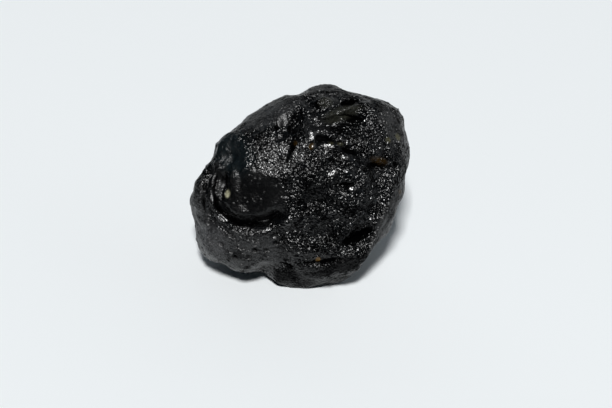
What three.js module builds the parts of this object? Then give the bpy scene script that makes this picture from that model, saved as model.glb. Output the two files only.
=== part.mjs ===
// A tektite: one lump of natural black glass, rounded in flight and etched in the ground. Its broad face
// looks forward and up, and it rests on a small flat spot. Millimetres, +Z up, front towards -Y.
// The origin is under the middle of the stone, on the surface that it rests on.
import * as THREE from "three";
import { SimplexNoise } from "three/addons/math/SimplexNoise.js";
import { mergeVertices } from "three/addons/utils/BufferGeometryUtils.js";

// Driving dimensions.
const MIDDLE = new THREE.Vector3(0, 0, 16.4); // where the axes of the broad face cross, inside the stone
const FACE_RISE = THREE.MathUtils.degToRad(37); // the broad face looks this far above the horizon
const DEPTH_FRONT = 9; // from the middle out to the broad face
const DEPTH_BACK = 15.8; // and to the back, which slopes down to the table
const FRONT_POWER = 3.4; // 2 is an ellipsoid's section, more is a flatter face with a sharper turn
const BACK_POWER = 2.4;
const FOOT_FRONT = -12.5; // how far forward the foot stands on the table
const FOOT_LEAN = 0.3; // how fast the wall over the foot may lean out beyond that as it rises
const FOOT_LEFT = -4.5; // left of this the skirt overhangs the table
const SKIRT_FLARE = 0.7; // and the wall may stand this much further forward for each millimetre to the left
const FOOT_SOFTNESS = 0.7; // rounds that wall into the face
const DETAIL = 20; // each of the 20 faces of the icosahedron has (DETAIL + 1)^2 triangles
const FRONT_BIAS = 0.15; // draws the triangles towards the broad face, which has the finest relief
const CORNER_BIAS = 0.3; // and towards its sharp turn, where they would be stretched
const VIEWPOINT = new THREE.Vector3(1.4, -3.4, 340); // [right, up, out]: forms are laid out as seen from here

// The rim of the broad face, as [right, up, out] from the middle, counterclockwise.
const RIM = [
  [22.4, 5.7, 1], [21.9, 10.2, 1], [19.8, 14.8, 1], [16.2, 17.4, 0.5], [12.7, 18.4, 0], [8, 19.6, 0],
  [3, 19.6, 0], [-1.8, 18.1, 0], [-7.4, 15.7, 0.5], [-12.8, 12.3, 1.5], [-15, 10.8, 2], [-16.6, 8.9, 2.5],
  [-17, 6.1, 3], [-18.4, 4, 3], [-20.2, 0.8, 3], [-21.6, -2.6, 2], [-21, -7.7, 1.5], [-20, -12.9, 2.7],
  [-15.9, -15.8, 4.2], [-10.8, -17.7, 4.5], [-7.6, -17.8, 3.5], [-5.3, -19.1, 2], [-2.8, -20.6, -0.3],
  [3, -20.4, -0.3], [6.1, -19.5, 0.5], [10.8, -17.8, 3], [14.4, -12.3, 5], [17.6, -9.4, 5],
  [19.1, -5.7, 5], [21.3, 1.6, 2],
];

// Round forms that stand out (height over 0) or lie deep: half-sizes along and across, turn in degrees.
// side -1 is the back. A sharp form keeps a crisp edge, as a burst bubble does.
const ROUND_FORMS = [
  // the broad face: the smooth boss, the flatter patch on its brow, the slot and the valley beside them
  { at: [-8, 5], size: [9.5, 11.5], turn: -20, height: 1.4 },
  { at: [-5.4, 7], size: [7, 5.5], turn: 15, height: -0.7 },
  { at: [-14.5, 0.6], size: [1.3, 3], turn: 0, height: -1.2, sharp: true },
  { at: [-13.4, 6.2], size: [3, 4], turn: 20, height: -1.3 },
  // the broad swell across the face
  { at: [4, 3], size: [17, 13], turn: 0, height: 2.2 },
  // the knob at the top, the drop of glass under it, and the right shoulder
  { at: [5.2, 20], size: [4.6, 2.6], turn: 0, height: 0.9 },
  { at: [4.6, 17], size: [2.6, 1.6], turn: 15, height: 1 },
  { at: [16.6, 14.4], size: [5, 5], turn: 0, height: 0.9 },
  // the swelling over the foot
  { at: [5, -17.4], size: [9, 3], turn: 5, height: 0.6 },
  // the gouge, the pit and the hollows of the lower and right parts
  { at: [12, -10.4], size: [4.4, 2.2], turn: 38, height: -1.5, sharp: true },
  { at: [-3, -15.6], size: [1.7, 1.3], turn: 0, height: -0.9, sharp: true },
  { at: [14.8, 4.1], size: [3.2, 1.5], turn: -15, height: -1, sharp: true },
  { at: [3.4, -1.4], size: [3.2, 2.6], turn: 20, height: -0.8, sharp: true },
  // the notch beside the foot, and the hollows that leave only the resting spot on the table
  { at: [-8.2, -18.6], size: [4.2, 2.6], turn: 0, height: -1.2 },
  { at: [-11, -14.5], size: [9, 7], turn: 25, height: -3, side: -1 },
  { at: [13, -13], size: [7, 8], turn: 0, height: -2.4, side: -1 },
  { at: [2, -9], size: [12, 6], turn: 0, height: -1.8, side: -1 },
  // the back: two burst bubbles and a swell
  { at: [-6, 5], size: [6.5, 5], turn: 25, height: -1.8, side: -1, sharp: true },
  { at: [6.5, 9], size: [3.4, 3], turn: 0, height: -1.2, side: -1, sharp: true },
  { at: [8, -3], size: [8, 7], turn: 0, height: 1.2, side: -1 },
];

// Long forms that follow a path over the stone: half-width and height. Below 0 they are grooves.
const LONG_FORMS = [
  // the crevice under the boss, and its lip
  {
    path: [
      [-16.2, 2], [-16.8, -0.6], [-16.6, -3.2], [-15, -5.6],
      [-12.4, -6.8], [-9.8, -7.2], [-6.6, -6.8], [-3.6, -5],
    ],
    width: 1.6,
    height: -1.6,
  },
  {
    path: [
      [-16.6, 5], [-17.6, 1.4], [-17.9, -1.6], [-17.6, -4.8],
      [-16, -7], [-12.4, -8.6], [-7, -8.8], [-2, -6.6],
    ],
    width: 1.4,
    height: 0.5,
  },
  // the skirt, which slopes down to the lower left rim
  { path: [[-20, -8], [-17.2, -13.8], [-11.4, -16.8], [-6, -17]], width: 8, height: -1.9 },
  // the groove of the left edge, and the rib beside the slot
  { path: [[-18.4, 3], [-19.2, -1.6], [-19.2, -5], [-18.8, -8]], width: 1.3, height: -0.9 },
  { path: [[-13, 4.8], [-12.8, 1.8], [-13.2, -1.4]], width: 1.1, height: 0.7 },
  // the rib under the knob with the grooves below and above it, and the groove round the drop
  { path: [[4.4, 13.8], [8.6, 15.2], [12.6, 16.4]], width: 1.4, height: 1.1 },
  { path: [[5.6, 12.6], [9.2, 13.4], [12.4, 13.6]], width: 1.4, height: -0.9 },
  { path: [[7.4, 15.8], [10.8, 17.4]], width: 1.4, height: -0.9 },
  { path: [[1.2, 16.6], [2, 18.2], [4.4, 18.9], [7, 18.6]], width: 1.4, height: -0.9 },
  // the middle rib with the grooves beside it
  { path: [[0.9, 16.4], [1.4, 13.6], [0.8, 11], [-0.4, 8.4], [-1.6, 5.6]], width: 1.4, height: 1 },
  { path: [[-2.7, 13.2], [-3.5, 9.6]], width: 1.4, height: -0.9 },
  { path: [[-0.6, 14], [-1.2, 10.6]], width: 1.4, height: -0.9 },
  { path: [[-1, 8.2], [-2.3, 5.6]], width: 1.4, height: -0.9 },
  // the cracks and the slit of the right half
  { path: [[3, 9.4], [6.2, 9.2]], width: 1.4, height: -0.9 },
  { path: [[8.4, 8.4], [11.6, 6.8]], width: 1.4, height: -0.9 },
  { path: [[7, 0.2], [10.8, 0.9]], width: 1.4, height: -0.9 },
  // the rib and the groove along the right edge
  { path: [[18.4, -1], [17, -6.4], [15, -11.2], [12.6, -14.6]], width: 1.4, height: 0.6 },
  { path: [[16.2, -1.4], [15.2, -5], [13.8, -7.6]], width: 1.3, height: -0.5 },
  // the back: two flow grooves and a ridge
  { path: [[-16, -4], [-9, -5], [-1, -3], [6, 2.4], [13, 5]], width: 1.6, height: -1, side: -1 },
  { path: [[-12, 11], [-3, 12.5], [5, 15]], width: 1.4, height: -0.9, side: -1 },
  { path: [[-15, 0], [-8, -1.5], [0, 1], [4, 5.5], [12, 9.6]], width: 1.8, height: 0.9, side: -1 },
];

// Etched cup pits, scattered at random, but none on the skin that stayed smooth.
const PITS = { count: 260, radius: [1.5, 3.1], steepness: 0.22 };
const SMOOTH_SKIN = [
  { at: [-7.6, 2.4], size: [8.6, 9.6] },
  { at: [-12, -12.5], size: [9, 4.5] },
  { at: [-6, 15.5], size: [7, 3] },
  { at: [0, -19.5], size: [7, 2.5] },
];

// The unevenness of the whole surface.
const SWELLS = [
  { scale: 11, height: 0.5 },
  { scale: 4.5, height: 0.3 },
  { scale: 2.4, height: 0.14 },
];

const right = new THREE.Vector3(1, 0, 0);
const up = new THREE.Vector3(0, Math.sin(FACE_RISE), Math.cos(FACE_RISE));
const out = new THREE.Vector3(0, -Math.cos(FACE_RISE), Math.sin(FACE_RISE));

// The rim in any direction from the middle, from a smooth closed curve through its points.
const RIM_STEPS = 720;
const rim = new THREE.CatmullRomCurve3(RIM.map((at) => new THREE.Vector3(...at)), true)
  .getSpacedPoints(RIM_STEPS)
  .map((p) => ({ angle: Math.atan2(p.y, p.x), radius: Math.hypot(p.x, p.y), out: p.z }))
  .sort((a, b) => a.angle - b.angle);

function rimAt(x, y) {
  const angle = Math.atan2(y, x);
  const share = (angle - rim[0].angle) / (2 * Math.PI);
  let i = THREE.MathUtils.clamp(Math.floor(share * RIM_STEPS), 0, RIM_STEPS);
  while (i > 0 && rim[i].angle > angle) i -= 1;
  while (i < RIM_STEPS && rim[i + 1].angle < angle) i += 1;
  return rim[i];
}

// The plain body: the point that lies in a direction given as [right, up, out] parts of a unit vector.
function bodyPoint(a, b, c) {
  const edge = rimAt(a, b);
  const power = c > 0 ? FRONT_POWER : BACK_POWER;
  const reach = (Math.hypot(a, b) ** power + Math.abs(c) ** power) ** (-1 / power);
  const depth = THREE.MathUtils.lerp(edge.out, c > 0 ? DEPTH_FRONT : -DEPTH_BACK, reach * Math.abs(c));
  const point = MIDDLE.clone()
    .addScaledVector(right, edge.radius * reach * a)
    .addScaledVector(up, edge.radius * reach * b)
    .addScaledVector(out, depth);
  const lean = FOOT_LEAN * Math.max(0, point.z) + SKIRT_FLARE * Math.max(0, FOOT_LEFT - point.x);
  const beyond = (FOOT_FRONT - lean - point.y) / FOOT_SOFTNESS;
  point.y += FOOT_SOFTNESS * Math.log1p(Math.exp(beyond));
  return point;
}

// The place on the plain body over [x, y] of the broad face's plane, or behind it on the back.
function overFace(x, y, side) {
  const power = side > 0 ? FRONT_POWER : BACK_POWER;
  const share = Math.min(1, Math.hypot(x, y) / rimAt(x, y).radius);
  const away = (1 - share ** power) ** (1 / power);
  const length = Math.hypot(x, y) || 1;
  return bodyPoint(...new THREE.Vector3(x / length * share, y / length * share, side * away).normalize());
}

// The same along the line of sight from the viewpoint through [x, y]. The back is taken straight behind.
const SIGHT_STEPS = 4;
function seenAt([x, y], side = 1) {
  let place = overFace(x, y, side);
  for (let step = 0; step < SIGHT_STEPS && side > 0; step++) {
    const nearer = place.clone().sub(MIDDLE).dot(out) / VIEWPOINT.z;
    place = overFace(x + (VIEWPOINT.x - x) * nearer, y + (VIEWPOINT.y - y) * nearer, side);
  }
  return place;
}

// A repeatable random number from 0 to 1.
let seed = 7;
function random() {
  seed = (seed * 16807) % 2147483647;
  return seed / 2147483647;
}
const noise = new SimplexNoise({ random });

const lens = (distance) => (distance < 1 ? (1 - distance * distance) ** 2 : 0);
const cup = (distance) => Math.max(0, 1 - distance * distance);

// How far a point is from a round form's centre, where 1 is its edge.
function distanceInForm(point, { centre, size, turn = 0 }) {
  const offset = point.clone().sub(centre);
  const angle = THREE.MathUtils.degToRad(turn);
  const x = offset.dot(right);
  const y = offset.dot(up);
  const along = (x * Math.cos(angle) + y * Math.sin(angle)) / size[0];
  const across = (y * Math.cos(angle) - x * Math.sin(angle)) / size[1];
  return Math.hypot(along, across, offset.dot(out) / Math.hypot(...size));
}

const PATH_STEPS = 40;
const roundForms = ROUND_FORMS.map((form) => ({ ...form, centre: seenAt(form.at, form.side) }));
const smoothSkin = SMOOTH_SKIN.map((form) => ({ ...form, centre: seenAt(form.at) }));
const longForms = LONG_FORMS.map((form) => ({
  ...form,
  points: new THREE.CatmullRomCurve3(form.path.map((at) => seenAt(at, form.side))).getPoints(PATH_STEPS),
}));

function scatterPits() {
  const pits = [];
  while (pits.length < PITS.count) {
    const direction = new THREE.Vector3(random() - 0.5, random() - 0.5, random() - 0.5);
    const centre = bodyPoint(...direction.normalize().toArray());
    const radius = THREE.MathUtils.lerp(...PITS.radius, random() ** 2);
    const smooth = smoothSkin.some((form) => distanceInForm(centre, form) < 1);
    if (!smooth) pits.push({ centre, radius });
  }
  return pits;
}
const pits = scatterPits();

// How far the finished surface stands out of the plain body at a point.
function relief(point) {
  let height = 0;
  for (const form of roundForms) {
    const profile = form.sharp ? cup : lens;
    height += form.height * profile(distanceInForm(point, form));
  }
  for (const form of longForms) {
    const distance = Math.min(...form.points.map((p) => p.distanceTo(point)));
    height += form.height * lens(distance / form.width);
  }
  const depths = pits.map(({ centre, radius }) => radius * cup(centre.distanceTo(point) / radius));
  height -= PITS.steepness * Math.max(...depths);
  for (const swell of SWELLS) {
    const { x, y, z } = point.clone().divideScalar(swell.scale);
    height += swell.height * noise.noise3d(x, y, z);
  }
  return height;
}

// The whole stone: an icosphere laid on the plain body, then moved in or out by the relief. The way out
// leans towards the broad face's own, as it does on an ellipsoid, so that no fold arises at the sharp rim.
function stone() {
  const ball = new THREE.IcosahedronGeometry(1, DETAIL);
  ball.deleteAttribute("normal");
  ball.deleteAttribute("uv");
  const geometry = mergeVertices(ball);
  const place = geometry.getAttribute("position");
  const point = new THREE.Vector3();
  for (let i = 0; i < place.count; i++) {
    const direction = point.fromBufferAttribute(place, i).addScaledVector(out, FRONT_BIAS).normalize();
    const angle = direction.angleTo(out);
    const evened = angle + CORNER_BIAS * Math.sin(4 * angle) / 4;
    const wider = Math.sin(evened) / Math.max(1e-9, Math.sin(angle));
    const body = bodyPoint(wider * direction.dot(right), wider * direction.dot(up), Math.cos(evened));
    place.setXYZ(i, ...body);
  }
  const away = new THREE.Vector3();
  for (let i = 0; i < place.count; i++) {
    point.fromBufferAttribute(place, i);
    away.subVectors(point, MIDDLE).addScaledVector(out, away.dot(out)).normalize();
    point.addScaledVector(away, relief(point));
    place.setXYZ(i, point.x, point.y, Math.max(0, point.z));
  }
  geometry.computeVertexNormals();
  return geometry;
}

const glass = new THREE.MeshStandardMaterial({ color: 0x1a1a1b, roughness: 0.35, metalness: 0 });
const tektite = new THREE.Mesh(stone(), glass);
tektite.name = "tektite";

// The origin goes under the middle of the stone's box.
const { min, max } = new THREE.Box3().setFromObject(tektite);
tektite.position.set(-(min.x + max.x) / 2, -(min.y + max.y) / 2, 0);

const group = new THREE.Group();
group.add(tektite);
export default group;
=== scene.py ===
# %% [markdown]
# # A tektite: a lump of natural black glass
#
# A tektite is glass that an impact splashed up from the ground. It set while it flew, so its skin is
# rounded and drawn into flow lines. Then it lay in wet soil for a very long time, which etched cups,
# grooves and sharp little ridges into it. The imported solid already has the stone's whole form: its outline,
# the smooth boss with the crevice round it, the skirt, the foot, and the larger ribs and pits. Here a copy
# of that solid gets the fine relief that can be seen and felt, and then the glass gets its finish.

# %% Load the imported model
import math

import bmesh
import bpy
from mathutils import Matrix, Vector, noise
from mathutils.bvhtree import BVHTree
from mathutils.kdtree import KDTree


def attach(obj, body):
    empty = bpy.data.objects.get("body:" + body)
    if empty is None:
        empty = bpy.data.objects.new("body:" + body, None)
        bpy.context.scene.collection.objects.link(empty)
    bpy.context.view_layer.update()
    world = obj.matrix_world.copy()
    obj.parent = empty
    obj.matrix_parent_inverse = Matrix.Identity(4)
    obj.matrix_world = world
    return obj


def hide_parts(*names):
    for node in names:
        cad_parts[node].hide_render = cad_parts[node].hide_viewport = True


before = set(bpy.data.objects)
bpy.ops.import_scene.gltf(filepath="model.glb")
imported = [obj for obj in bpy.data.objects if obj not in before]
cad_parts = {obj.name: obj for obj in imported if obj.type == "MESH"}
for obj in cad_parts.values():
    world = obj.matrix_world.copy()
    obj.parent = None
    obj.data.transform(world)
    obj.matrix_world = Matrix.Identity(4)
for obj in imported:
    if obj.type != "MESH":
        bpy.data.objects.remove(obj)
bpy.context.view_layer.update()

MM = 0.001
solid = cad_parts["tektite"]

# %% [markdown]
# ## The broad face and the eye
#
# The stone's broad face looks forward and up, and every mark on it is known by where it is seen there.
# Marks could be placed by three coordinates, but on a lumpy skin those are hard to guess. So the face comes
# before everything else: its middle, the directions along it and out of it, and an eye in front of it. The
# camera stands where the eye is, and its long lens keeps the stone's proportions true.

# %% The face, the eye and the camera
FACE_RISE = math.radians(37)  # how far the broad face looks up
MIDDLE = Vector((-0.085, -1.54, 16.4))  # in millimetres, as every length is until the mesh is made
RIGHT = Vector((1, 0, 0))
UP = Vector((0, math.sin(FACE_RISE), math.cos(FACE_RISE)))
OUT = Vector((0, -math.cos(FACE_RISE), math.sin(FACE_RISE)))
EYE_RIGHT, EYE_DOWN, EYE_FAR = 1.4, 3.4, 340
EYE = MIDDLE + EYE_RIGHT * RIGHT - EYE_DOWN * UP + EYE_FAR * OUT
LENS, SENSOR = 100, 36

camera = bpy.data.objects.new("camera", bpy.data.cameras.new("camera"))
camera.data.lens = LENS
camera.data.sensor_width = SENSOR
camera.location = EYE * MM
camera.rotation_euler = (math.pi / 2 - FACE_RISE, 0, 0)
bpy.context.scene.collection.objects.link(camera)
bpy.context.scene.camera = camera
print("the eye is", round(EYE.z), "mm above the table")

# %% [markdown]
# ## A denser skin
#
# The solid has triangles of about a millimetre, and the marks between its large forms are as small as half
# a millimetre, so the skin needs points about 0.2 mm apart. A Subdivision Surface modifier would give them,
# but it would spend as many on the underside as on the face. Here the copy is split evenly, and then only
# its broad face, which has the finest marks, is split once more. Smoothing in between takes away the
# facets. The points that the stone stands on stay where they are.

# %% Copy, merge and split
TINY = 0.001  # a length below this counts as none
FIRST_CUTS = 2
FACETS_SMOOTHED = 5
BROAD_FACE = 0.25  # faces that look at least this much out of the broad face are split again
ALL_WAYS = {"use_axis_x": True, "use_axis_y": True, "use_axis_z": True}


def smooth(skin, times):
    off_the_table = [vert for vert in skin.verts if vert.co.z > TINY]
    for _ in range(times):
        bmesh.ops.smooth_vert(skin, verts=off_the_table, factor=0.5, **ALL_WAYS)
    skin.normal_update()


def dense_skin(source):
    skin = bmesh.new()
    skin.from_mesh(source.data)
    bmesh.ops.scale(skin, vec=(1 / MM, 1 / MM, 1 / MM), verts=skin.verts)
    bmesh.ops.remove_doubles(skin, verts=skin.verts, dist=TINY)
    bmesh.ops.subdivide_edges(skin, edges=skin.edges, cuts=FIRST_CUTS, use_grid_fill=True)
    smooth(skin, FACETS_SMOOTHED)
    in_front = [
        edge for edge in skin.edges
        if any(face.normal.dot(OUT) > BROAD_FACE for face in edge.link_faces)
    ]
    bmesh.ops.subdivide_edges(skin, edges=in_front, cuts=1, use_grid_fill=True)
    bmesh.ops.triangulate(skin, faces=skin.faces)
    smooth(skin, 1)
    skin.verts.index_update()
    skin.verts.ensure_lookup_table()
    return skin


skin = dense_skin(solid)
places = [vert.co.copy() for vert in skin.verts]
normals = [vert.normal.copy() for vert in skin.verts]
print("skin:", len(skin.verts), "points,", len(skin.faces), "triangles")

# %% [markdown]
# ## Marks where the eye sees them
#
# From here on a mark is given by two numbers: millimetres to the right of the face's middle, and up from
# it. A ray from the eye through that place finds the spot on the skin. The ray is cast on a tree of the
# skin's triangles, and a second tree, of its points, finds those near a spot. Both are far quicker than a
# search through all of them.

# %% Find spots on the skin
surface = BVHTree.FromBMesh(skin)
neighbours = KDTree(len(places))
for index, place in enumerate(places):
    neighbours.insert(place, index)
neighbours.balance()


def seen(across, along):
    """The spot on the skin that the eye sees at this place of the face."""
    aim = MIDDLE + across * RIGHT + along * UP
    spot = surface.ray_cast(EYE, (aim - EYE).normalized())[0]
    return spot or surface.find_nearest(aim)[0]


print("the middle of the broad face is at", [round(c, 1) for c in seen(0, 0)])

# %% [markdown]
# ## Ovals on the face
#
# The soil didn't treat the stone evenly: skins, stains and dim places each lie on areas of their own. Such
# areas could be painted on the mesh by hand, but an oval can be read, measured and changed. It is given by
# its place, its two half-sizes and its turn, and it reaches far enough in and out that the skin's lumps
# don't matter.

# %% How far a place is from an oval's middle
OVAL_DEPTH = 12


def smoothstep(low, high, value):
    share = min(1, max(0, (value - low) / (high - low)))
    return share * share * (3 - 2 * share)


def on_the_skin(rows):
    """The rows, with the spot on the skin instead of the place on the face."""
    return [(seen(*at), *rest) for at, *rest in rows]


def distance_in(place, centre, halves, turn):
    """0 is the oval's middle and 1 is its edge."""
    offset = place - centre
    angle = math.radians(turn)
    x, y = offset.dot(RIGHT), offset.dot(UP)
    lengthwise = (x * math.cos(angle) + y * math.sin(angle)) / halves[0]
    crosswise = (y * math.cos(angle) - x * math.sin(angle)) / halves[1]
    return math.sqrt(lengthwise ** 2 + crosswise ** 2 + (offset.dot(OUT) / OVAL_DEPTH) ** 2)


print("3 mm off the middle of a 6 mm round is", round(distance_in(seen(3, 0), seen(0, 0), (6, 6), 0), 2))

# %% [markdown]
# ## Five kinds of skin
#
# The boss and the valley beside it stayed smooth and glossy. The brow over the boss has a fine, bright
# grain. The skirt, the dome and the edges are dull and grainy, and so is the foot, which is darker. All the
# rest is hackly, which is the etched skin. The real skin has no borders, so each point gets a share of each
# kind, from 0 to 1, and the ovals have soft, ragged edges. The shares steer the relief, and afterwards the
# finish.

# %% Where each kind of skin lies
GLOSSY = [  # place on the face, half-sizes, turn in degrees
    ((-9.5, -1.6), (7.4, 5.8), -6),
    ((-14, 6.4), (3.4, 4.4), 30),
    ((-16.4, 1), (2, 5), -15),
]
DULL = [
    ((-12, -13), (10, 4.4), -8),
    ((-6, 15.4), (8, 3.2), 28),
    ((6, 19.4), (5, 1.7), 0),
    ((18.6, 12.4), (1.8, 5), 25),
    ((18.2, -7), (2.3, 8.6), -25),
    ((-20, -6), (2.4, 8), 0),
]
FOOT = [
    ((1, -18.4), (10, 2.4), 5),
    ((8, -16.6), (6, 2), 25),
]
BROW = [
    ((-5.4, 5.8), (6, 4.2), 15),
]
EDGE = 0.35  # how soft the edge of an oval is, as a share of its size
RAGGED, RAGGED_SIZE = 0.22, 1.6


def outside(rows):
    """For each point 0 inside the ovals, 1 outside them, and a ragged edge between."""
    forms = on_the_skin(rows)
    shares = []
    for place in places:
        ragged = RAGGED * noise.noise(place / RAGGED_SIZE)
        distance = min(distance_in(place, *form) for form in forms) + ragged
        shares.append(smoothstep(1 - EDGE, 1 + EDGE / 2, distance))
    return shares


not_glossy, not_dull, not_foot, not_brow = [outside(rows) for rows in (GLOSSY, DULL, FOOT, BROW)]
dull = [1 - share for share in not_dull]
foot = [1 - share for share in not_foot]
brow = [(1 - share) * unlike for share, unlike in zip(not_brow, not_glossy)]
etched = [min(shares) for shares in zip(not_glossy, not_dull, not_foot, not_brow)]
for name, shares in (("dull", dull), ("foot", foot), ("brow", brow), ("etched", etched)):
    print(name, "share of the points:", round(sum(shares) / len(shares), 2))

# %% [markdown]
# ## Cups and ridges
#
# Etching leaves cups that meet in sharp ridges. A Displace modifier with a Voronoi texture would give them,
# but it couldn't ask how deeply the soil etched each point. So each point looks the pattern up by itself.
# The distance to the second nearest cell point less the distance to the nearest is zero on the border of
# two cells and greatest inside one, which is a cup with a sharp rim. Places are shifted by a noise first,
# so that the cups aren't all of one round kind. The ready noise for shifting gives other values each time
# Blender starts, so a plain one is read three times, once for each axis and each at a place of its own.

# %% Cups of two sizes
CUPS = [  # cell, depth on the etched skin, depth on the smooth skin
    (2.3, 0.16, 0.02),
    (1.2, 0.10, 0.01),
]
WARP = 0.5
DRIFTS = [Vector((9.3, -1.5, -7.9)), Vector((0.5, 3.7, 5.2)), Vector((-6.1, 2.8, 4.4))]
CUP_REACH = 0.7  # the difference of the two distances, in cells, from which a cup is at its deepest
CUP_CURVE = 0.8


def drift(place):
    return Vector([noise.noise(place + shift) for shift in DRIFTS])


def cup_at(place, cell):
    moved = place + WARP * cell * drift(place / cell)
    nearest, second = noise.voronoi(moved / cell)[0][:2]
    return min(1, (second - nearest) / CUP_REACH) ** CUP_CURVE


lift = [0.0] * len(places)
for cell, etched_depth, smooth_depth in CUPS:
    for index, place in enumerate(places):
        depth = smooth_depth + (etched_depth - smooth_depth) * etched[index]
        lift[index] += depth * (0.5 - cup_at(place, cell))
print("cups from", round(min(lift), 2), "to", round(max(lift), 2), "mm")

# %% [markdown]
# ## Flow lines
#
# The dull skin still shows how the glass flowed: fine lines that run round the broad face. Etching left
# them faint elsewhere, and the glossy skin has none. A Wave texture could draw rings, but its rings are
# even and closed, and these fade and come back. So the lines are a noise that is read along two things: how
# far a place is turned away from the face, which makes the rings, and the way round, which lets them fade.

# %% Lines round the face
LINE_GAP = 0.6  # the size of the noise across the lines
LINE_HEIGHT = 0.06
LINE_LENGTH = 2.2  # how often a line fades and comes back on its way round
LINE_START = 7  # where in the noise the lines are read
FACE_RADIUS = 20
WANDER, WANDER_SIZE = 0.5, 3
FAINT = 0.3  # what is left of a line's height on skin that isn't dull


def flow_at(place):
    offset = place - MIDDLE
    x, y = offset.dot(RIGHT), offset.dot(UP)
    ring = math.hypot(x, y)
    spread = FACE_RADIUS * math.atan2(ring, offset.dot(OUT))
    spread += WANDER * noise.noise(place / WANDER_SIZE)
    way_round = (LINE_LENGTH * x / ring, LINE_LENGTH * y / ring + LINE_START)
    return noise.noise(Vector((spread / LINE_GAP, *way_round)))


for index, place in enumerate(places):
    faded = FAINT + (1 - FAINT) * dull[index]
    lift[index] += LINE_HEIGHT * flow_at(place) * faded * not_glossy[index]
print("cups and flow lines from", round(min(lift), 2), "to", round(max(lift), 2), "mm")

# %% [markdown]
# ## Pocks, grains and drops
#
# Here and there a tiny bubble broke through the skin and left a pock, a harder grain was left standing, or
# a small drop stayed smooth and now glints. Hundreds of small spheres could be cut and joined, which would
# be slow and would leave seams. Instead each mark has a cell of a Voronoi pattern to itself, and lifts or
# lowers the points near the middle of its cell. A second number, the same everywhere in a cell, says
# whether that cell holds a mark at all.

# %% One mark to a cell
SPOTS = [  # cell, radius, height, share of the cells, whether it stayed smooth
    (1.3, 0.42, -0.16, 0.5, False),
    (1.7, 0.38, 0.16, 0.5, False),
    (1.6, 0.45, 0.15, 0.3, True),
]
SPREAD_OUT = 17  # moves the middles of the cells apart, so that each reads a number of its own
SPOT_EDGE = 2  # the greater, the sharper the edge of the smooth skin on a drop


def spot_at(place, cell, radius, share):
    distances, centres = noise.voronoi(place / cell)
    if noise.cell(centres[0] * SPREAD_OUT) > share:
        return 0
    return max(0, 1 - (distances[0] * cell / radius) ** 2)


melted = [0.0] * len(places)
for cell, radius, height, share, stayed_smooth in SPOTS:
    shift = Vector((cell, 2 * cell, 3 * cell))
    for index, place in enumerate(places):
        inside = spot_at(place + shift, cell, radius, share)
        lift[index] += height * inside
        if stayed_smooth:
            melted[index] = etched[index] * min(1, SPOT_EDGE * inside)
            etched[index] -= melted[index]
print("relief from", round(min(lift), 2), "to", round(max(lift), 2), "mm")

# %% [markdown]
# ## Gouges, slots and ribs
#
# Some marks are large enough to be known by their place: the crevice round the boss, the slots over it, the
# cracks of the right half, and the gouges low down. Each could be a solid of its own, joined or cut with a
# Boolean, but on this glass such marks are soft and uneven and run out thin. So each is a stroke along a
# few points, as with a sculptor's tool. Its height is over 0 for a rib and under 0 for a gouge.

# %% The tool
STEP = 0.15
TAPER = 0.6  # the smaller, the blunter a stroke starts and ends
UNEVEN_SIZE = 0.9


def traced(path):
    """Spots on the skin along the path, a step apart."""
    spots = []
    for start, end in zip(path, path[1:]):
        count = max(1, round(math.dist(start, end) / STEP))
        for number in range(count):
            share = number / count
            spots.append([a + (b - a) * share for a, b in zip(start, end)])
    spots.append(path[-1])
    return [seen(*spot) for spot in spots]


def stroke(path, half_width, height, blunt=0.35, sharpness=1.5, ragged=0.45):
    """Lift the points along the path, and say by what share of the height each was lifted."""
    spots = traced(path)
    shares = {}
    for number, spot in enumerate(spots):
        along = number / (len(spots) - 1)
        swell = blunt + (1 - blunt) * math.sin(math.pi * along) ** TAPER
        reach = half_width * swell
        for _, index, distance in neighbours.find_range(spot, reach):
            share = swell * (1 - distance / reach) ** sharpness
            shares[index] = max(share, shares.get(index, 0))
    for index, share in shares.items():
        lift[index] += height * share * (1 + ragged * noise.noise(places[index] / UNEVEN_SIZE))
    return shares


print("a stroke of 3 mm goes over", len(traced([(0, 0), (3, 0)])), "spots")

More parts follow.
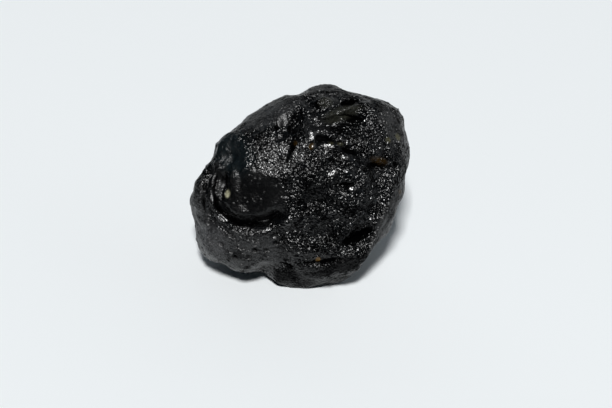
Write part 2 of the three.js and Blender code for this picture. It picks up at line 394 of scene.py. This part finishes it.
# %% The strokes
STROKES = [  # path on the face, half-width, height
    # the crevice under the boss, then its lip
    ([(-16.2, 2), (-16.8, -0.6), (-16.4, -3.4), (-15, -5.6),
      (-12.4, -6.9), (-9.6, -7.2), (-6.4, -6.6), (-4, -5.2)], 1.0, -0.8),
    ([(-16.8, -4.4), (-16, -6.2), (-14.6, -7.2), (-13, -7.6)], 0.9, 0.5),
    ([(-9, -8.2), (-7, -8.5), (-5, -8)], 0.7, 0.35),
    ([(-13.8, -4.2), (-12.4, -4.9), (-9.6, -5.3), (-6.6, -4.7), (-4.6, -3.4)], 2, 0.3),
    # the slot beside the boss, and the rib between them
    ([(-14.6, 3), (-14.8, 0.4), (-14.2, -1.8)], 0.8, -1.0),
    ([(-13.4, 4.6), (-13, 2), (-13.4, -0.8)], 0.6, 0.35),
    # the left rim: a ridge line, a groove outside it, and thin diagonals
    ([(-17, -1), (-17.3, -4), (-17, -7.6)], 0.6, 0.35),
    ([(-18.8, 1.6), (-19.1, -2.4), (-18.8, -7.4)], 0.8, -0.5),
    ([(-19.8, 1), (-17.4, 2.4)], 0.45, 0.3),
    ([(-18.2, -0.6), (-16.2, 1.2)], 0.45, 0.3),
    # slots and a rib above the boss
    ([(-1, 9), (-2, 6.6)], 0.9, -1.1),
    ([(-4.6, 13.8), (-4.4, 10.8)], 0.7, -0.9),
    ([(-2.2, 14.2), (-2, 11)], 0.7, -0.9),
    ([(0.6, 16), (1.2, 13.4), (0.8, 11.4)], 0.6, 0.5),
    # the cracks and the slit of the right half
    ([(3, 9.9), (6.6, 9.5)], 0.7, -0.9),
    ([(8.2, 8), (11.4, 6.8)], 1.0, -1.2),
    ([(6.6, 0.3), (11.2, 0.6)], 0.6, -0.9),
    # round the drop under the knob
    ([(8.4, 16.6), (11.8, 17.2)], 0.8, -0.9),
    ([(8.2, 14.2), (12.6, 13.4)], 0.9, -1.0),
    ([(4, 13.6), (8, 14.9), (12, 16.2)], 0.8, 0.6),
    ([(1.8, 18.6), (4, 19.2), (6, 19)], 0.7, -0.9),
    # the gouges of the lower part
    ([(9, -11.2), (14, -8.4)], 1.4, -1.1),
    ([(-3.8, -15.2), (-1, -16.2)], 1, -0.8),
    ([(1, -15.4), (9, -14.4)], 1.2, -0.8),
    # two gouges near the right edge
    ([(13.4, 4.6), (17.4, 4)], 1.1, -0.9),
    ([(18.8, 5.6), (19.6, 3)], 0.7, -0.6),
]
for path, half_width, height in STROKES:
    stroke(path, half_width, height)
print(len(STROKES), "strokes; relief from", round(min(lift), 2), "to", round(max(lift), 2), "mm")

# %% [markdown]
# ## Melted ledges and drops
#
# A few ledges and drops stayed as smooth as when they set, and catch the light as the brightest lines and
# dots of the stone. White paint would show from every side, where a glint shows only from some. So each is
# a real form: a blunt, straight-sided stroke, like a little roof, that turns a slope towards the light.
# Under it the relief made so far is taken away, and the skin is neither etched nor dull.

# %% Ledges and drops that glint
MELTED = [  # path on the face, half-width, height, how glossy
    ([(-3.8, 13.2), (-2.8, 13.2)], 1.6, 0.2, 0),
    ([(2.8, 10.6), (2.7, 8)], 1, 0.6, 1),
    ([(4.2, 8.7), (6.8, 8.4)], 0.9, 0.3, 1),
    ([(8.8, 5.7), (10.4, 5.5)], 0.9, 0.12, 1),
    ([(10.4, -0.5), (12.4, -0.8)], 0.8, 0.2, 1),
    ([(6.8, 2.5), (7, 2.5)], 1.8, 0.32, 1),
    ([(9.4, 2.8), (9.9, 2.8)], 0.8, 0.3, 1),
    ([(-15.6, -5.6), (-14.4, -6.8)], 0.7, 0.42, 1),
    ([(-8.8, -8.5), (-5.4, -8.6)], 0.7, 0.09, 1),
    ([(-5, -6.4), (-2, -7.4)], 0.6, 0.2, 1),
]
MELT_EDGE = 2.5  # the greater, the sharper the edge of the smooth skin
for path, half_width, height, glossy_share in MELTED:
    before = list(lift)
    lifted = stroke(path, half_width, height, blunt=0.8, sharpness=1, ragged=0)
    for index, share in lifted.items():
        kept = 1 - min(1, MELT_EDGE * share)
        melted[index] = max(melted[index], glossy_share * (1 - kept))
        lift[index] -= before[index] * (1 - kept)
        etched[index] *= kept
        dull[index] *= kept
print("melted share of the points:", round(sum(melted) / len(melted), 3))

# %% [markdown]
# ## Small burst bubbles
#
# The skirt is smooth apart from a few small oval holes, where bubbles of gas broke through the skin. A hole
# could be cut with a Boolean, but the tool that made the gouges makes it too: a very short, blunt stroke
# with steep sides.

# %% Bubbles on the skirt
BUBBLES = [
    (-10, -14), (-6.6, -12.6), (-10.4, -16.2), (-12.8, -14), (-8.8, -12.6), (-15.6, -11.4), (-4.6, -11),
]
HALF_LENGTH, SLANT = 0.25, 0.1
BUBBLE_HALF_WIDTH, BUBBLE_HEIGHT = 0.6, -0.5
for across, along in BUBBLES:
    path = [(across - HALF_LENGTH, along), (across + HALF_LENGTH, along - SLANT)]
    stroke(path, BUBBLE_HALF_WIDTH, BUBBLE_HEIGHT, blunt=0.8, sharpness=0.7)
print(len(BUBBLES), "bubbles")

# %% [markdown]
# ## Stains and painted sheens
#
# The stone was washed, but a little clay stays in some of its pits. The pale spot by the crevice is clay,
# painted bright enough to be a painted highlight as well, for the glint there. The rest is painted sheen:
# lighter colour that stands in for what the glass reflects, grey on the dome, above the middle and at the
# left end of the skirt, teal in the valley, and olive, partly the glass's own tint, on the drop under the
# knob. Each could be a material of its own, but then it would end in a hard line, where a real one thins
# out. They only colour the glass, so each point gets a colour, and the material reads it.

# %% The colour of each point
GLASS_COLOUR = Vector((0.0006, 0.0006, 0.0007))
# pale clay, and a painted highlight: bright enough to stand in for the glint by the crevice
PALE_CLAY_AND_PAINTED_GLINT = Vector((0.3, 0.29, 0.2))
RED_CLAY = Vector((0.2, 0.11, 0.025))
YELLOW_CLAY = Vector((0.2, 0.19, 0.09))
# painted sheen: grey colour that stands in for the reflections on the dome, above the middle and on the skirt
PAINTED_GREY_SHEEN = Vector((0.01, 0.01, 0.0104))
# olive: partly the glass's own tint, partly painted sheen on the lit ridge and drop under the knob
OLIVE_TINT_AND_PAINTED_SHEEN = Vector((0.02, 0.02, 0.015))
# painted reflection: a teal lift that stands in for what the glossy valley mirrors
PAINTED_TEAL_REFLECTION = Vector((0.005, 0.0085, 0.01))
STAINS_AND_PAINTED_SHEENS = [  # place on the face, half-sizes, turn in degrees, how much, colour
    # the pale clay spot, painted bright as the glint by the crevice
    ((-14.3, -1.3), (0.7, 1), 0, 1.4, PALE_CLAY_AND_PAINTED_GLINT),
    ((3.8, -14.5), (0.6, 0.6), 30, 0.75, RED_CLAY),
    ((16, 5.2), (2.2, 1), -15, 0.14, RED_CLAY),
    ((2.4, 8), (0.6, 0.7), 0, 0.3, RED_CLAY),
    ((-0.8, 8.8), (0.6, 0.5), 0, 0.25, RED_CLAY),
    ((20.2, -1), (0.4, 0.7), 0, 0.2, RED_CLAY),
    ((19.8, 10), (0.6, 1), 20, 0.3, YELLOW_CLAY),
    ((17.8, 9.4), (0.7, 0.7), 0, 0.3, YELLOW_CLAY),
    ((6.4, 8.6), (0.8, 0.4), 0, 0.15, YELLOW_CLAY),
    ((8.2, 8.6), (0.8, 0.4), 0, 0.15, YELLOW_CLAY),
    # from here on the rows are painted sheen, with some olive tint of the glass
    ((8.4, 14.6), (4.8, 1.8), 20, 1.3, OLIVE_TINT_AND_PAINTED_SHEEN),
    ((4, 12), (3, 3), 0, 0.7, PAINTED_GREY_SHEEN),
    ((5.4, 17), (1.8, 1.4), 15, 1, OLIVE_TINT_AND_PAINTED_SHEEN),
    ((-13, 6.6), (4.6, 6), 30, 1, PAINTED_TEAL_REFLECTION),
    ((-6, 15.4), (9, 4), 28, 1, PAINTED_GREY_SHEEN),
    ((-18, -11), (4.6, 5.4), 0, 4, PAINTED_GREY_SHEEN),
]
THICKNESS = 0.7
PATCHY, PATCHY_SIZE = 0.6, 0.5
STAIN_AND_SHEEN_EDGE = 0.5
stain_and_sheen_forms = on_the_skin(STAINS_AND_PAINTED_SHEENS)


def colour_at(place):
    colour = GLASS_COLOUR.copy()
    for *oval, strength, stain_or_sheen in stain_and_sheen_forms:
        inside = 1 - distance_in(place, *oval)
        if inside > 0:
            patchy = THICKNESS + PATCHY * noise.noise(place / PATCHY_SIZE)
            colour += strength * patchy * smoothstep(0, STAIN_AND_SHEEN_EDGE, inside) * stain_or_sheen
    return colour


colours = [colour_at(place) for place in places]
stained_or_sheened = sum(colour != GLASS_COLOUR for colour in colours)
print("stained share of the points:", round(stained_or_sheened / len(colours), 2))

# %% [markdown]
# ## Where the light is lost
#
# Light that falls into a deep slot is thrown from wall to wall, and black glass takes in nearly all of it.
# The slots are about a millimetre deep, and the grain inside them will be bump, which casts no shadow, so
# they would come out too bright. Deeper slots would be darker, but their steep walls would stretch the
# triangles. So each point says how much of its gloss is lost, the more the deeper it lies. A few broad
# areas, such as the boss, are darker than their slope alone would make them, and lose a part too.

# %% How much gloss each point loses
DEEP_FROM, DEEP_TO = 0.12, 0.5  # the depths at which the gloss starts to go, and at which none is left
DIM = [  # place on the face, half-sizes, turn in degrees, how much
    ((-14.2, 5.4), (3.2, 4.8), 30, 0.5),
    ((-10, -2), (6.4, 4.4), 0, 0.5),
    ((4.2, 0), (7.4, 6), 0, 0.45),
    ((7, -9.4), (8, 5), 0, 0.2),
]
DIM_EDGE = 0.6
dim_forms = on_the_skin(DIM)


def lost_at(place, height):
    dimness = [
        strength * smoothstep(0, DIM_EDGE, 1 - distance_in(place, *oval))
        for *oval, strength in dim_forms
    ]
    return max(smoothstep(DEEP_FROM, DEEP_TO, -height), *dimness)


lost = [lost_at(place, height) for place, height in zip(places, lift)]
print("gloss lost, on average:", round(sum(lost) / len(lost), 2))

# %% [markdown]
# ## Sculpt the skin
#
# All the heights are known now, so each point moves once, along its normal. A Displace modifier could read
# the heights, but then the form would be there only where the modifier is worked out. Near the table the
# relief fades out, so that the stone still rests on its flat spot, and nothing goes below it.

# %% Move the points
FADE = 1.2
for vert, normal, height in zip(skin.verts, normals, lift):
    vert.co += normal * height * smoothstep(0, FADE, vert.co.z)
    vert.co.z = max(0, vert.co.z)
bmesh.ops.scale(skin, vec=(MM, MM, MM), verts=skin.verts)
for face in skin.faces:
    face.smooth = True
print("the deepest mark is", round(-min(lift), 2), "mm deep, the highest", round(max(lift), 2), "mm high")

# %% [markdown]
# The new mesh takes the plain solid's place. It carries the shares, the lost gloss and the colour as
# attributes, one value for each point. The finish could work them out again from where a point lies, but
# that would take hundreds of nodes, and this way it can't disagree with the relief.

# %% The mesh and what it carries
mesh = bpy.data.meshes.new("tektite_skin")
skin.to_mesh(mesh)
skin.free()
CARRIED = {"etched": etched, "dull": dull, "foot": foot, "brow": brow, "melted": melted, "deep": lost}
for name, values in CARRIED.items():
    mesh.attributes.new(name, "FLOAT", "POINT").data.foreach_set("value", values)
channels = [channel for colour in colours for channel in (*colour, 1)]
mesh.attributes.new("colour", "FLOAT_COLOR", "POINT").data.foreach_set("color", channels)

stone = bpy.data.objects.new("tektite_skin", mesh)
bpy.context.scene.collection.objects.link(stone)
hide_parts("tektite")
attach(stone, "root")
print("each point carries", [*CARRIED, "colour"])

# %% [markdown]
# ## Black glass
#
# The glass is so dark that it shows almost no colour of its own: what is seen is what it reflects. It could
# be made with light going through it and a dark inside, but almost none gets through a stone this thick,
# and that would take much longer and look the same. So it is an opaque shader with a nearly black base
# colour. The tools for nodes come first; the studio uses two of them again.

# %% The material, and tools for its nodes
GLASS_IOR = 1.5
glass = bpy.data.materials.new("black_glass")
glass.use_nodes = True
glass_tree = glass.node_tree
shader = glass_tree.nodes["Principled BSDF"]
shader.inputs["IOR"].default_value = GLASS_IOR
coordinates = glass_tree.nodes.new("ShaderNodeTexCoord")


def attribute(name, output="Fac"):
    node = glass_tree.nodes.new("ShaderNodeAttribute")
    node.attribute_name = name
    return node.outputs[output]


def math_node(tree, operation, *values):
    """A sum with numbers and sockets."""
    node = tree.nodes.new("ShaderNodeMath")
    node.operation = operation
    for socket, value in zip(node.inputs, values):
        if isinstance(value, (int, float)):
            socket.default_value = value
        else:
            tree.links.new(value, socket)
    return node.outputs["Value"]


def smooth_range(tree, value, start, end, first=0, last=1):
    """A smooth way from first to last, while the value goes from start to end."""
    node = tree.nodes.new("ShaderNodeMapRange")
    node.interpolation_type = "SMOOTHSTEP"
    names = ("From Min", "From Max", "To Min", "To Max")
    for name, number in zip(names, (start, end, first, last)):
        node.inputs[name].default_value = number
    tree.links.new(value, node.inputs["Value"])
    return node.outputs["Result"]


mesh.materials.append(glass)
glass_tree.links.new(attribute("colour", "Color"), shader.inputs["Base Color"])
print("index of refraction:", GLASS_IOR)

# %% [markdown]
# ## One glass, six finishes
#
# Each kind of skin, and the melted drops, need their own grain, roughness and gloss. Six materials would
# meet in hard lines, where the real skin goes over from one kind into the other. With one material a number
# such as the roughness is the glossy skin's, and each other kind adds its difference, as much as its share
# says.

# %% A number for each skin
SKINS = {name: attribute(name) for name in ("etched", "dull", "foot", "brow", "melted")}


def by_skin(glossy, **others):
    total = glossy
    for name, there in others.items():
        total = math_node(glass_tree, "MULTIPLY_ADD", SKINS[name], there - glossy, total)
    return total


roughness = by_skin(0.36, etched=0.23, dull=0.45, foot=0.3, brow=0.26, melted=0.24)
glass_tree.links.new(roughness, shader.inputs["Roughness"])
print("finishes:", ["glossy", *SKINS])

# %% [markdown]
# ## The grain
#
# Under a lens the skin has a grain of a quarter to half a millimetre, which breaks each highlight up into
# sparks. In the mesh it would take millions of points, so it is the only relief that is left to bump: two
# noises, one on top of the other. The glossy skin has less of both.

# %% Two sizes of grain
GRAINS = [  # size, and depth on each skin
    (0.5, by_skin(0.06, etched=0.36, dull=0.3, foot=0.3, brow=0.14)),
    (0.25, by_skin(0.12, etched=0.23, dull=0.25, foot=0.25, brow=0.22)),
]


def noise_texture(size, detail):
    texture = glass_tree.nodes.new("ShaderNodeTexNoise")
    texture.inputs["Scale"].default_value = 1 / (size * MM)
    texture.inputs["Detail"].default_value = detail
    glass_tree.links.new(coordinates.outputs["Object"], texture.inputs["Vector"])
    return texture.outputs["Fac"]


def bump(height, strength):
    node = glass_tree.nodes.new("ShaderNodeBump")
    node.inputs["Distance"].default_value = MM
    glass_tree.links.new(height, node.inputs["Height"])
    glass_tree.links.new(strength, node.inputs["Strength"])
    return node


coarse, fine = [bump(noise_texture(size, 0), depth) for size, depth in GRAINS]
glass_tree.links.new(coarse.outputs["Normal"], fine.inputs["Normal"])
glass_tree.links.new(fine.outputs["Normal"], shader.inputs["Normal"])
print("grains of", [size for size, _ in GRAINS], "mm")

# %% [markdown]
# ## Pits that swallow the light
#
# The smallest pits are deeper than they are wide, so light that enters one doesn't come back, and the pit
# is black from all sides. They are too small to model, and bump would leave them grey. So the shader's
# specular level falls to zero in them. A fine noise says where the pits are, and a broad one gathers them
# in patches. The gloss that a point lost for lying deep is taken off in the same step.

# %% The gloss that is left
PIT_SIZE, PIT_DETAIL = 0.35, 1
PATCH_SIZE = 2.6
PATCH_SHARE = 0.65
PIT_FROM, PIT_TO = 0.31, 0.54  # all pit where the noise is below the first, none above the second

patches = math_node(glass_tree, "MULTIPLY_ADD", noise_texture(PATCH_SIZE, 0), PATCH_SHARE, -PATCH_SHARE / 2)
ground = math_node(glass_tree, "ADD", noise_texture(PIT_SIZE, PIT_DETAIL), patches)
pits = smooth_range(glass_tree, ground, PIT_FROM, PIT_TO, 1, 0)
pit_share = by_skin(0.3, etched=0.95, dull=0.75, foot=0.9, brow=0.85)
pitted = math_node(glass_tree, "MULTIPLY", pits, pit_share)
swallowed = math_node(glass_tree, "MAXIMUM", pitted, attribute("deep"))
left = math_node(glass_tree, "SUBTRACT", 1, swallowed)
level = by_skin(0.5, etched=0.45, dull=0.8, foot=0.13, brow=0.75, melted=0.9)
glass_tree.links.new(math_node(glass_tree, "MULTIPLY", left, level), shader.inputs["Specular IOR Level"])
print("the glass has", len(glass_tree.nodes), "nodes")

# %% [markdown]
# ## The table
#
# The stone stands on matt, pale paper, a little blue. Any gloss on it would mirror the stone, so its
# specular level is zero. It could be endless, but the glass would mirror all of it. It ends shortly in front
# of the stone, so the boss comes out about a fifth darker, and the skirt and the right half a little darker.

# %% Table
TABLE_WIDTH, TABLE_DEPTH = 0.2, 0.5  # in metres, as everything is from here on
TABLE_FRONT = -0.053
PAPER_COLOUR, PAPER_ROUGHNESS = (0.9, 0.93, 0.94, 1), 0.9
bpy.ops.mesh.primitive_plane_add(size=1, location=(0, TABLE_FRONT + TABLE_DEPTH / 2, 0))
table = bpy.context.object
table.scale = (TABLE_WIDTH, TABLE_DEPTH, 1)
table.name = "table"
paper = bpy.data.materials.new("pale_table")
paper.use_nodes = True
matt = paper.node_tree.nodes["Principled BSDF"]
matt.inputs["Base Color"].default_value = PAPER_COLOUR
matt.inputs["Roughness"].default_value = PAPER_ROUGHNESS
matt.inputs["Specular IOR Level"].default_value = 0
table.data.materials.append(paper)
print("table:", TABLE_WIDTH, "by", TABLE_DEPTH, "m")

# %% [markdown]
# ## The light
#
# One softbox stands in front and high up. Its height decides two things at once: how far the stone's shadow
# reaches, and which slopes glint. It could be near and large, but then the shadow would have no edge. So it
# is far away and looks 8 degrees wide. A sun lamp would be simpler, but this can be moved and sized like a
# real one. Its energy is worked out from how bright it looks, so a change of size doesn't change the
# glints.

# %% Softbox
SOFTBOX_RISE = math.radians(58)
SOFTBOX_TURN = math.radians(2)
SOFTBOX_FAR = 5.0
SOFTBOX_SIZE = 0.7
SOFTBOX_RADIANCE = 158
softbox = bpy.data.objects.new("softbox", bpy.data.lights.new("softbox", "AREA"))
softbox.data.shape = "SQUARE"
softbox.data.size = SOFTBOX_SIZE
softbox.data.energy = SOFTBOX_RADIANCE * math.pi * SOFTBOX_SIZE ** 2
towards = Vector((
    -math.cos(SOFTBOX_RISE) * math.sin(SOFTBOX_TURN),
    -math.cos(SOFTBOX_RISE) * math.cos(SOFTBOX_TURN),
    math.sin(SOFTBOX_RISE),
))
softbox.location = towards * SOFTBOX_FAR
softbox.rotation_euler = towards.to_track_quat("Z", "Y").to_euler()
bpy.context.scene.collection.objects.link(softbox)
print("the softbox looks", round(math.degrees(SOFTBOX_SIZE / SOFTBOX_FAR)), "degrees wide")

# %% [markdown]
# ## The room
#
# Black glass shows the room that it stands in. This one is dim and bluish, which also tints the shadow,
# with a pale wall low behind it on the right. The wall could be a plane with a lamp on it, but as part of
# the world it has no edges and casts nothing. It is the product of two smooth ranges: how far a direction
# points back and right, and how low it points.

# %% The pale wall
BACK_RIGHT = (0.6, 0.8, 0)
BEHIND_FROM, BEHIND_TO = -0.1, 0.45
LOW_FROM, LOW_TO = 0.75, 0.45
DIM_ROOM, PALE_WALL = 0.015, 0.6

world = bpy.data.worlds.new("room")
bpy.context.scene.world = world
world.use_nodes = True
room = world.node_tree
direction = room.nodes.new("ShaderNodeTexCoord").outputs["Generated"]
facing = room.nodes.new("ShaderNodeVectorMath")
facing.operation = "DOT_PRODUCT"
facing.inputs[1].default_value = BACK_RIGHT
room.links.new(direction, facing.inputs[0])
parts = room.nodes.new("ShaderNodeSeparateXYZ")
room.links.new(direction, parts.inputs["Vector"])
behind = smooth_range(room, facing.outputs["Value"], BEHIND_FROM, BEHIND_TO)
low_down = smooth_range(room, parts.outputs["Z"], LOW_FROM, LOW_TO)
on_the_wall = math_node(room, "MULTIPLY", behind, low_down)
brightness = smooth_range(room, on_the_wall, 0, 1, DIM_ROOM, PALE_WALL)
print("the wall is", round(PALE_WALL / DIM_ROOM), "times as bright as the room")

# %% [markdown]
# Where the table ends the camera would see the dim room, as a dark edge. A larger table would hide it, but
# the glass would mirror it and turn grey. So only the camera's own rays see a plain, pale backdrop there, and
# the stone and the table keep the light of the room.

# %% What the camera sees where the table ends
BACKDROP = 0.86
DIM_TINT, PALE_TINT = (0.55, 0.95, 1.35, 1), (0.985, 1, 1, 1)
by_camera = room.nodes.new("ShaderNodeLightPath").outputs["Is Camera Ray"]
background = room.nodes["Background"]

strength = room.nodes.new("ShaderNodeMix")
strength.data_type = "FLOAT"
strength.inputs["B"].default_value = BACKDROP
room.links.new(by_camera, strength.inputs["Factor"])
room.links.new(brightness, strength.inputs["A"])
room.links.new(strength.outputs["Result"], background.inputs["Strength"])

tint = room.nodes.new("ShaderNodeMix")
tint.data_type = "RGBA"
tint.inputs["A"].default_value = DIM_TINT
tint.inputs["B"].default_value = PALE_TINT
room.links.new(math_node(room, "MAXIMUM", on_the_wall, by_camera), tint.inputs["Factor"])
room.links.new(tint.outputs["Result"], background.inputs["Color"])
bpy.context.scene.view_settings.view_transform = "Standard"
print("backdrop:", BACKDROP)
